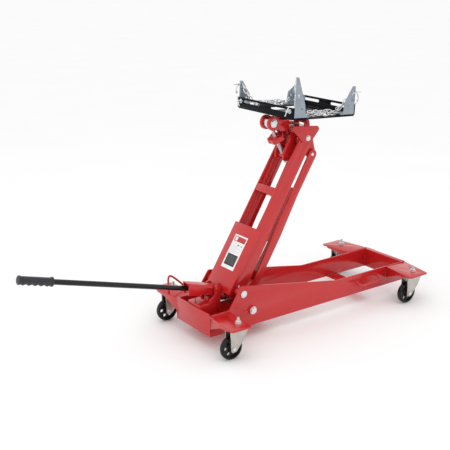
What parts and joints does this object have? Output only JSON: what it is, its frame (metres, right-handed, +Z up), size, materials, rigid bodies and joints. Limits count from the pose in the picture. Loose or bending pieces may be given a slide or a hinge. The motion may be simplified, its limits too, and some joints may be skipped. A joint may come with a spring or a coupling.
{
  "type": "transmission jack",
  "caption": "Low-profile floor transmission jack: wheeled steel frame with outriggers, hydraulic parallel lift arm, tilting saddle with adjustable corner brackets and pump handle",
  "frame": {"origin": "centre of the overall footprint, on the floor under the wheels", "axes": "+X towards the front casters, +Y to the left, +Z up"},
  "size_m": [1.9229, 0.604, 1.1042],
  "materials": {
    "red_paint": "gloss enamel",
    "black_paint": "satin black",
    "zinc_plate": "bright zinc plating",
    "bright_steel": "ground and polished",
    "wheel_black": "moulded",
    "grip_black": "matt moulded"
  },
  "bodies": {
    "chassis": {"arm_pivot_shaft": "zinc_plate", "carry_handle_left": "red_paint", "carry_handle_right": "red_paint", "front_crossmember": "red_paint", "handle_rest_hoop": "red_paint", "link_pivot_bolt_left": "zinc_plate", "link_pivot_bolt_right": "zinc_plate", "mid_strap": "red_paint", "outrigger_front_left": "red_paint", "outrigger_front_right": "red_paint", "outrigger_rear_left": "red_paint", "outrigger_rear_right": "red_paint", "pump_block": "red_paint", "ram_cylinder": "bright_steel", "rear_tray": "red_paint", "side_plate_left": "red_paint", "side_plate_right": "red_paint"},
    "lift_arm": {"arm_plate_right": "red_paint", "arm_plate_left": "red_paint", "arm_cover": "red_paint", "arm_brace": "red_paint", "arm_lever": "red_paint", "lever_roller": "bright_steel", "head_pivot_shaft": "zinc_plate"},
    "parallel_link": {"parallel_link": "red_paint"},
    "ram": {"ram": "bright_steel"},
    "pump_handle": {"handle_socket": "red_paint", "pump_handle": "black_paint", "handle_grip": "grip_black"},
    "pump_plunger": {"pump_plunger": "bright_steel"},
    "release_valve": {"release_valve": "zinc_plate"},
    "head": {"head_frame": "red_paint", "link_head_pin": "zinc_plate"},
    "screw_trunnion": {"screw_trunnion": "red_paint"},
    "tilt_screw": {"tilt_screw": "zinc_plate"},
    "tilt_knob": {"tilt_knob": "red_paint"},
    "tilt_table": {"tilt_table": "red_paint", "screw_pin": "zinc_plate"},
    "side_tilt_screw": {"side_tilt_screw": "zinc_plate"},
    "saddle": {"saddle_base": "black_paint", "saddle_rail_rear": "black_paint", "saddle_rail_front": "black_paint", "safety_chain_right": "zinc_plate", "safety_chain_left": "zinc_plate"},
    "bracket_rear_right": {"corner_bracket_rear_right": "zinc_plate"},
    "clamp_rear_right": {"clamp_screw_rear_right": "zinc_plate"},
    "caster_rear_right": {"caster_fork_rear_right": "zinc_plate"},
    "wheel_rear_right": {"caster_wheel_rear_right": "wheel_black"},
    "bracket_rear_left": {"corner_bracket_rear_left": "zinc_plate"},
    "clamp_rear_left": {"clamp_screw_rear_left": "zinc_plate"},
    "caster_rear_left": {"caster_fork_rear_left": "zinc_plate"},
    "wheel_rear_left": {"caster_wheel_rear_left": "wheel_black"},
    "bracket_front_right": {"corner_bracket_front_right": "zinc_plate"},
    "clamp_front_right": {"clamp_screw_front_right": "zinc_plate"},
    "caster_front_right": {"caster_fork_front_right": "zinc_plate"},
    "wheel_front_right": {"caster_wheel_front_right": "wheel_black"},
    "bracket_front_left": {"corner_bracket_front_left": "zinc_plate"},
    "clamp_front_left": {"clamp_screw_front_left": "zinc_plate"},
    "caster_front_left": {"caster_fork_front_left": "zinc_plate"},
    "wheel_front_left": {"caster_wheel_front_left": "wheel_black"}
  },
  "joints": [
    {"name": "lift", "type": "hinge", "parent": "chassis", "child": "lift_arm", "pos_m": [-0.0225, 0, 0.208], "axis": [0, -1, 0], "range_deg": [-61, 4]},
    {"name": "link_swing", "type": "hinge", "parent": "chassis", "child": "parallel_link", "pos_m": [0.01895, 0, 0.12903], "axis": [0, -1, 0], "range_deg": [-61.5, 4.5]},
    {"name": "head_level", "type": "hinge", "parent": "lift_arm", "child": "head", "pos_m": [0.35957, 0, 0.81944], "axis": [0, -1, 0], "range_deg": [-4.5, 61.5]},
    {"name": "ram_stroke", "type": "slide", "parent": "chassis", "child": "ram", "axis": [1, 0, 0], "range_m": [-0.072, 0.005]},
    {"name": "handle_pump", "type": "hinge", "parent": "chassis", "child": "pump_handle", "pos_m": [-0.0975, 0, 0.222], "axis": [0, 1, 0], "range_deg": [-8, 40]},
    {"name": "plunger_stroke", "type": "slide", "parent": "chassis", "child": "pump_plunger", "axis": [0, 0, 1], "range_m": [-0.0036, 0.017]},
    {"name": "valve_turn", "type": "hinge", "parent": "chassis", "child": "release_valve", "pos_m": [-0.1675, -0.03, 0.095], "axis": [0, -1, 0], "range_deg": [0, 360]},
    {"name": "trunnion_turn", "type": "hinge", "parent": "head", "child": "screw_trunnion", "pos_m": [0.2815, 0, 0.743], "axis": [0, 1, 0], "range_deg": [-4, 4]},
    {"name": "screw_travel", "type": "slide", "parent": "screw_trunnion", "child": "tilt_screw", "axis": [-0.4567, 0, 0.8896], "range_m": [-0.0165, 0.0165]},
    {"name": "knob_turn", "type": "hinge", "parent": "tilt_screw", "child": "tilt_knob", "pos_m": [0.24103, 0, 0.82183], "axis": [-0.4567, 0, 0.8896], "continuous": true},
    {"name": "fore_aft_tilt", "type": "hinge", "parent": "head", "child": "tilt_table", "pos_m": [0.3825, 0, 0.8815], "axis": [0, 1, 0], "range_deg": [-6, 6]},
    {"name": "side_tilt", "type": "hinge", "parent": "tilt_table", "child": "saddle", "pos_m": [0.34451, 0, 0.91451], "axis": [0.9988, 0, -0.0489], "range_deg": [-5, 5]},
    {"name": "side_screw_travel", "type": "slide", "parent": "tilt_table", "child": "side_tilt_screw", "axis": [0.0489, 0, 0.9988], "range_m": [-0.0033, 0.0033]},
    {"name": "bracket_slide_rear_right", "type": "slide", "parent": "saddle", "child": "bracket_rear_right", "axis": [0, 1, 0], "range_m": [-0.003, 0.118]},
    {"name": "clamp_turn_rear_right", "type": "hinge", "parent": "bracket_rear_right", "child": "clamp_rear_right", "pos_m": [0.17684, -0.164, 0.96626], "axis": [-0.9988, 0, 0.0489], "continuous": true},
    {"name": "bracket_slide_rear_left", "type": "slide", "parent": "saddle", "child": "bracket_rear_left", "axis": [0, -1, 0], "range_m": [-0.003, 0.118]},
    {"name": "clamp_turn_rear_left", "type": "hinge", "parent": "bracket_rear_left", "child": "clamp_rear_left", "pos_m": [0.17684, 0.164, 0.96626], "axis": [-0.9988, 0, 0.0489], "continuous": true},
    {"name": "bracket_slide_front_right", "type": "slide", "parent": "saddle", "child": "bracket_front_right", "axis": [0, 1, 0], "range_m": [-0.003, 0.118]},
    {"name": "clamp_turn_front_right", "type": "hinge", "parent": "bracket_front_right", "child": "clamp_front_right", "pos_m": [0.51643, -0.164, 0.94966], "axis": [0.9988, 0, -0.0489], "continuous": true},
    {"name": "bracket_slide_front_left", "type": "slide", "parent": "saddle", "child": "bracket_front_left", "axis": [0, -1, 0], "range_m": [-0.003, 0.118]},
    {"name": "clamp_turn_front_left", "type": "hinge", "parent": "bracket_front_left", "child": "clamp_front_left", "pos_m": [0.51643, 0.164, 0.94966], "axis": [0.9988, 0, -0.0489], "continuous": true},
    {"name": "swivel_rear_right", "type": "hinge", "parent": "chassis", "child": "caster_rear_right", "pos_m": [-0.1385, -0.243, 0.129], "axis": [0, 0, 1], "continuous": true},
    {"name": "roll_rear_right", "type": "hinge", "parent": "caster_rear_right", "child": "wheel_rear_right", "pos_m": [-0.1745, -0.243, 0.0508], "axis": [0, 1, 0], "continuous": true},
    {"name": "swivel_rear_left", "type": "hinge", "parent": "chassis", "child": "caster_rear_left", "pos_m": [-0.1385, 0.243, 0.129], "axis": [0, 0, 1], "continuous": true},
    {"name": "roll_rear_left", "type": "hinge", "parent": "caster_rear_left", "child": "wheel_rear_left", "pos_m": [-0.1745, 0.243, 0.0508], "axis": [0, 1, 0], "continuous": true},
    {"name": "swivel_front_right", "type": "hinge", "parent": "chassis", "child": "caster_front_right", "pos_m": [0.8875, -0.243, 0.129], "axis": [0, 0, 1], "continuous": true},
    {"name": "roll_front_right", "type": "hinge", "parent": "caster_front_right", "child": "wheel_front_right", "pos_m": [0.8515, -0.243, 0.0508], "axis": [0, 1, 0], "continuous": true},
    {"name": "swivel_front_left", "type": "hinge", "parent": "chassis", "child": "caster_front_left", "pos_m": [0.8875, 0.243, 0.129], "axis": [0, 0, 1], "continuous": true},
    {"name": "roll_front_left", "type": "hinge", "parent": "caster_front_left", "child": "wheel_front_left", "pos_m": [0.8515, 0.243, 0.0508], "axis": [0, 1, 0], "continuous": true}
  ],
  "couplings": [
    {"joint": "link_swing", "follows": "lift", "ratio": 1},
    {"joint": "head_level", "follows": "lift", "ratio": -1},
    {"joint": "ram_stroke", "follows": "lift", "m_per_rad": 0.0667},
    {"joint": "plunger_stroke", "follows": "handle_pump", "m_per_rad": 0.024},
    {"joint": "trunnion_turn", "follows": "fore_aft_tilt", "ratio": 0.5431},
    {"joint": "screw_travel", "follows": "fore_aft_tilt", "m_per_rad": 0.1531},
    {"joint": "side_screw_travel", "follows": "side_tilt", "m_per_rad": 0.036}
  ]
}
